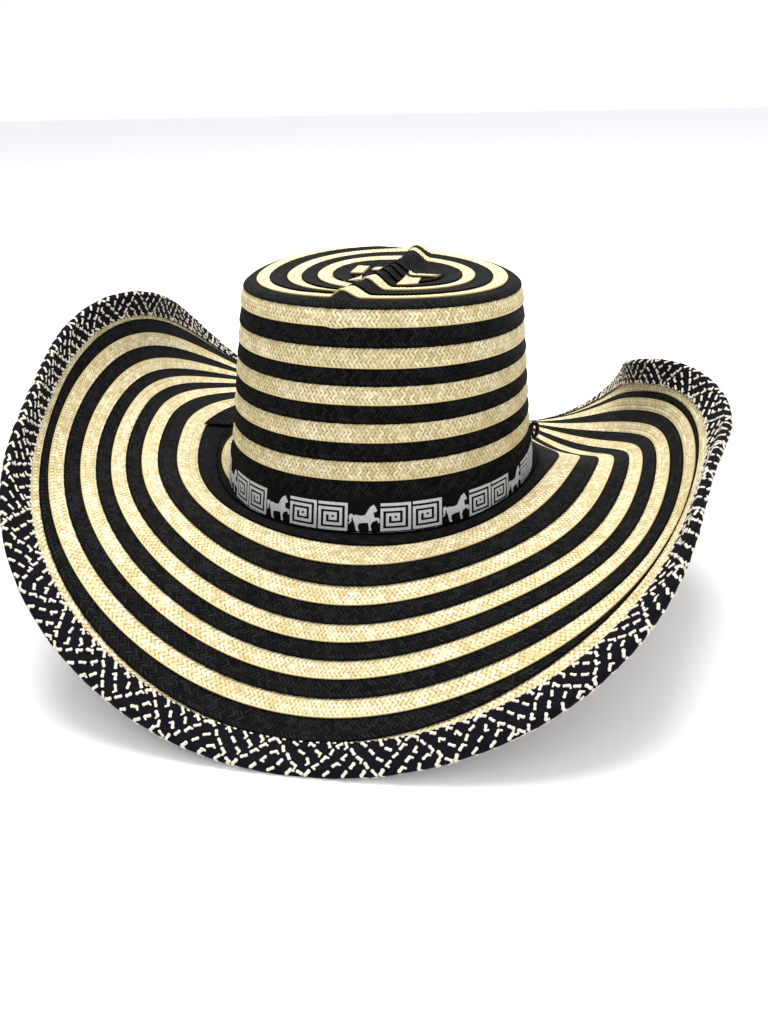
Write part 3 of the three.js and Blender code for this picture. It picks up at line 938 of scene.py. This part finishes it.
class Look:
    """A material made of nodes."""

    def __init__(self, name):
        self.material = bpy.data.materials.new(name)
        self.material.use_nodes = True
        self.tree = self.material.node_tree
        self.shader = next(n for n in self.tree.nodes if n.type == "BSDF_PRINCIPLED")

    def node(self, kind, **settings):
        made = self.tree.nodes.new(kind)
        for key, value in settings.items():
            setattr(made, key, value)
        return made

    def wire(self, target, value):
        if hasattr(value, "is_output"):
            self.tree.links.new(value, target)
        else:
            target.default_value = value

    def math(self, operation, *values):
        made = self.node("ShaderNodeMath", operation=operation)
        for socket, value in zip(made.inputs, values):
            self.wire(socket, value)
        return made.outputs[0]

    def plus(self, a, b):
        return self.math("ADD", a, b)

    def minus(self, a, b):
        return self.math("SUBTRACT", a, b)

    def times(self, a, b):
        return self.math("MULTIPLY", a, b)

    def over(self, a, b):
        return self.math("DIVIDE", a, b)

    def pingpong(self, value, scale):
        return self.math("PINGPONG", value, scale)

    def far(self, a, b):
        """How far a place is from a corner that is a away one way and b the other."""
        return self.math("SQRT", self.plus(self.math("POWER", a, 2.0), self.math("POWER", b, 2.0)))

    def ease(self, value, low, high, start=0.0, end=1.0):
        made = self.node("ShaderNodeMapRange", interpolation_type="SMOOTHSTEP")
        for socket, given in zip(made.inputs[:5], (value, low, high, start, end)):
            self.wire(socket, given)
        return made.outputs[0]

    def mix(self, share, first, second):
        made = self.node("ShaderNodeMix", data_type="RGBA")
        self.wire(made.inputs[0], share)
        self.wire(made.inputs[6], first)
        self.wire(made.inputs[7], second)
        return made.outputs[2]

    def braid_map(self):
        made = self.node("ShaderNodeUVMap", uv_map="Braid")
        split = self.node("ShaderNodeSeparateXYZ")
        self.wire(split.inputs[0], made.outputs[0])
        return split.outputs[0], split.outputs[1]

    def random(self, x, y):
        joined = self.node("ShaderNodeCombineXYZ")
        self.wire(joined.inputs[0], x)
        self.wire(joined.inputs[1], y)
        made = self.node("ShaderNodeTexWhiteNoise", noise_dimensions="2D")
        self.wire(made.inputs[0], joined.outputs[0])
        return made.outputs[0]

    def noise(self, scale, detail=3.0):
        place = self.node("ShaderNodeTexCoord")
        made = self.node("ShaderNodeTexNoise")
        self.wire(made.inputs["Vector"], place.outputs["Object"])
        made.inputs["Scale"].default_value = scale
        made.inputs["Detail"].default_value = detail
        return made.outputs[0]

    def bump(self, height, strength, distance):
        made = self.node("ShaderNodeBump")
        made.inputs["Strength"].default_value = strength
        made.inputs["Distance"].default_value = distance
        self.wire(made.inputs["Height"], height)
        self.wire(self.shader.inputs["Normal"], made.outputs[0])

    def finish(self, color, roughness, sheen=0.0, specular=0.2):
        self.wire(self.shader.inputs["Base Color"], color)
        self.shader.inputs["Roughness"].default_value = roughness
        self.shader.inputs["Specular IOR Level"].default_value = specular
        self.shader.inputs["Sheen Weight"].default_value = sheen
        self.shader.inputs["Sheen Roughness"].default_value = 0.5
        return self.material


def herringbone(look, weave):
    """Distance to the nearest edge of a strand and of a row, and a random value for each strand."""
    along, back = look.braid_map()
    pitch, row, slant = weave["pitch"], weave["row"], weave["slant"]
    rows = look.minus(back, LAY["cord"])
    zigzag = look.over(look.pingpong(rows, row), row)
    strand = look.plus(look.over(along, pitch), look.times(zigzag, slant))
    strand_edge = look.pingpong(strand, 0.5)
    row_edge = look.pingpong(rows, row / 2)
    chance = look.random(look.math("FLOOR", strand), look.math("FLOOR", look.over(rows, row)))
    return along, back, strand_edge, row_edge, chance


def straw_look():
    look = Look("cream straw")
    along, back, strand_edge, row_edge, chance = herringbone(look, WEAVE)
    line = look.ease(strand_edge, 0.02, 0.2, 1.0, 0.0)
    across = look.times(strand_edge, WEAVE["pitch"])
    corner = look.far(across, row_edge)
    hole = look.ease(corner, 0.15, 0.75, 1.0, 0.0)
    # A row of larger holes beside the edge cord
    repeat = WEAVE["repeat"]
    beside = look.times(look.pingpong(look.over(along, repeat), 0.5), repeat)
    off = look.minus(back, 1.8)
    spot = look.far(beside, off)
    stitch = look.ease(spot, 0.2, 0.75, 1.0, 0.0)
    cord = look.ease(back, 0.55, 0.85, 1.0, 0.0)
    # Painted shade: a thin darker line along the braid's outer edge, where it turns down over the next braid
    rim = look.ease(back, 0.0, 0.3, 1.0, 0.0)
    weave = look.minus(1.0, cord)
    wear = look.noise(GRAIN["wear"])
    patchy = look.ease(look.noise(GRAIN["patches"]), 0.3, 0.7, 0.25, 1.25)
    dark = look.plus(look.times(line, 0.75), look.times(hole, 0.9))
    dark = look.times(look.times(dark, patchy), weave)
    dark = look.math("MINIMUM", look.plus(dark, look.times(stitch, 0.6)), 1.0)
    strand = look.mix(chance, STRAW["dull"], STRAW["bright"])
    strand = look.mix(look.ease(wear, 0.4, 0.75, 0.0, 0.5), strand, STRAW["worn"])
    color = look.mix(dark, strand, STRAW["gap"])
    color = look.mix(look.times(cord, 0.75), color, STRAW["cord"])
    # painted shade along the braid's outer edge, in the colour of the gaps
    color = look.mix(look.times(rim, 0.5), color, STRAW["gap"])
    height = look.times(look.ease(strand_edge, 0.0, 0.4), look.ease(row_edge, -0.4, 0.7))
    look.bump(height, 0.7, 0.0004)
    return look.finish(color, 0.55)


def black_look():
    look = Look("black straw")
    along, back, strand_edge, row_edge, chance = herringbone(look, BLACK_WEAVE)
    line = look.ease(strand_edge, 0.08, 0.4, 1.0, 0.0)
    rib = look.pingpong(look.minus(back, LAY["cord"]), RIBS["step"])
    groove = look.ease(rib, 0.0, 0.4, 1.0, 0.0)
    near_edge = look.ease(back, 3.2, 4.0, 1.0, 0.0)
    cord = look.ease(back, 0.3, 0.8, 1.0, 0.0)
    patchy = look.ease(look.noise(GRAIN["black"]), 0.3, 0.65, 0.35, 1.0)
    dark = look.times(line, patchy)
    ribbed = look.times(groove, look.plus(look.times(near_edge, 0.6), 0.35))
    dark = look.math("MAXIMUM", dark, ribbed)
    strand = look.mix(chance, BLACK["dull"], BLACK["bright"])
    color = look.mix(dark, strand, BLACK["gap"])
    color = look.mix(look.times(cord, 0.9), color, BLACK["cord"])
    height = look.times(look.ease(strand_edge, 0.0, 0.45), look.ease(row_edge, -0.4, 0.8))
    look.bump(height, 0.8, 0.0004)
    return look.finish(color, 0.65, 0.0, 0.03)


def cloth_look(name, dark, light, twill, roughness):
    """Ribbed cloth: fine slanting threads and a little wear."""
    look = Look(name)
    along, back = look.braid_map()
    slanted = look.plus(look.over(along, twill), look.over(back, twill * 1.4))
    thread = look.pingpong(slanted, 0.5)
    cross = look.pingpong(look.over(back, twill * 0.8), 0.5)
    lit = look.times(look.ease(thread, 0.1, 0.45), look.ease(cross, 0.0, 0.3, 0.6, 1.0))
    worn = look.ease(look.noise(GRAIN["cloth"]), 0.35, 0.7, 0.5, 1.0)
    color = look.mix(look.times(lit, worn), dark + (1,), light + (1,))
    look.bump(lit, 0.5, 0.0002)
    return look.finish(color, roughness, 0.0, 0.05)


def thread_look(name, dark, light, roughness):
    """White thread or print, with small dark gaps and wear."""
    look = Look(name)
    along, across = look.braid_map()
    strand = look.pingpong(look.over(along, 0.9), 0.5)
    grain = look.noise(GRAIN["thread"], 2.0)
    lit = look.times(look.ease(strand, 0.0, 0.2, 0.7, 1.0), look.ease(grain, 0.25, 0.6, 0.6, 1.0))
    color = look.mix(lit, dark + (1,), light + (1,))
    look.bump(grain, 0.35, 0.0002)
    return look.finish(color, roughness)


def cord_look():
    look = Look("black cord")
    grain = look.noise(GRAIN["shiny"], 2.0)
    color = look.mix(look.ease(grain, 0.3, 0.7), (0.002, 0.002, 0.002, 1), (0.008, 0.008, 0.009, 1))
    look.bump(grain, 0.2, 0.0002)
    return look.finish(color, 0.28, 0.0, 0.3)


# Stage, lights and camera

FLOOR_SIZE = 8000
FLOOR_COLOR = (0.90, 0.90, 0.91, 1)
SKY = {"color": (0.97, 0.98, 1.0, 1), "strength": 1.02}
# Lights: name, place and target in metres, width in metres, power in watts
LIGHTS = (
    ("overhead", (-0.15, 0.35, 1.5), (0, 0, 0.05), 1.2, 33),
    ("front", (0.9, -1.4, 0.9), (0, 0, 0.1), 1.0, 7),
)
CAMERA = {
    "place": (99.57, -547.45, 283.90), "forward": (-0.169988, 0.888681, -0.425852),
    "yaw": 10.829, "roll": -1.802, "lens": 35.127,
}


def make_camera():
    forward = Vector(CAMERA["forward"]).normalized()
    yaw, roll = math.radians(CAMERA["yaw"]), math.radians(CAMERA["roll"])
    right = Vector((math.cos(yaw), math.sin(yaw), 0))
    up = right.cross(forward)
    c, s = math.cos(roll), math.sin(roll)
    right, up = c * right + s * up, c * up - s * right
    data = bpy.data.cameras.new("photo_camera")
    data.lens = CAMERA["lens"]
    data.sensor_width = 36
    data.sensor_fit = "AUTO"
    data.clip_start, data.clip_end = 0.01, 50
    camera = bpy.data.objects.new("photo_camera", data)
    turn = Matrix((right, up, -forward)).transposed().to_4x4()
    camera.matrix_world = Matrix.Translation(Vector(CAMERA["place"]) * MM) @ turn
    bpy.context.scene.collection.objects.link(camera)
    bpy.context.scene.camera = camera


def make_light(name, place, target, size, power):
    data = bpy.data.lights.new(name, "AREA")
    data.shape = "DISK"
    data.size = size
    data.energy = power
    light = bpy.data.objects.new(name, data)
    way = Vector(target) - Vector(place)
    light.matrix_world = Matrix.Translation(place) @ way.to_track_quat("-Z", "Y").to_matrix().to_4x4()
    bpy.context.scene.collection.objects.link(light)


def make_stage():
    half = FLOOR_SIZE / 2 * MM
    mesh = bpy.data.meshes.new("floor")
    corners = [(-half, -half, 0), (half, -half, 0), (half, half, 0), (-half, half, 0)]
    mesh.from_pydata(corners, [], [(0, 1, 2, 3)])
    floor = bpy.data.objects.new("floor", mesh)
    look = Look("pale floor")
    look.finish(FLOOR_COLOR, 0.9)
    mesh.materials.append(look.material)
    bpy.context.scene.collection.objects.link(floor)
    world = bpy.data.worlds.new("studio")
    world.use_nodes = True
    background = world.node_tree.nodes["Background"]
    background.inputs["Color"].default_value = SKY["color"]
    background.inputs["Strength"].default_value = SKY["strength"]
    bpy.context.scene.world = world
    for light in LIGHTS:
        make_light(*light)
    bpy.context.scene.view_settings.view_transform = "Standard"


make_camera()
make_stage()
looks = {
    "straw": straw_look(),
    "black_straw": black_look(),
    "binding": cloth_look("dark binding cloth", (0.0015, 0.0015, 0.003), (0.008, 0.008, 0.013), 1.1, 0.75),
    "ribbon": cloth_look("black ribbon", (0.0025, 0.0025, 0.003), (0.008, 0.008, 0.009), 0.7, 0.8),
    "thread": thread_look("white thread", (0.34, 0.30, 0.24), (0.66, 0.61, 0.52), 0.7),
    "print": thread_look("grey print", (0.34, 0.33, 0.32), (0.56, 0.55, 0.53), 0.7),
    "cord": cord_look(),
}
make_crown(looks)
make_brim(looks)
make_binding(looks)
make_ribbon(looks)
make_loop(looks)
make_tail(looks)
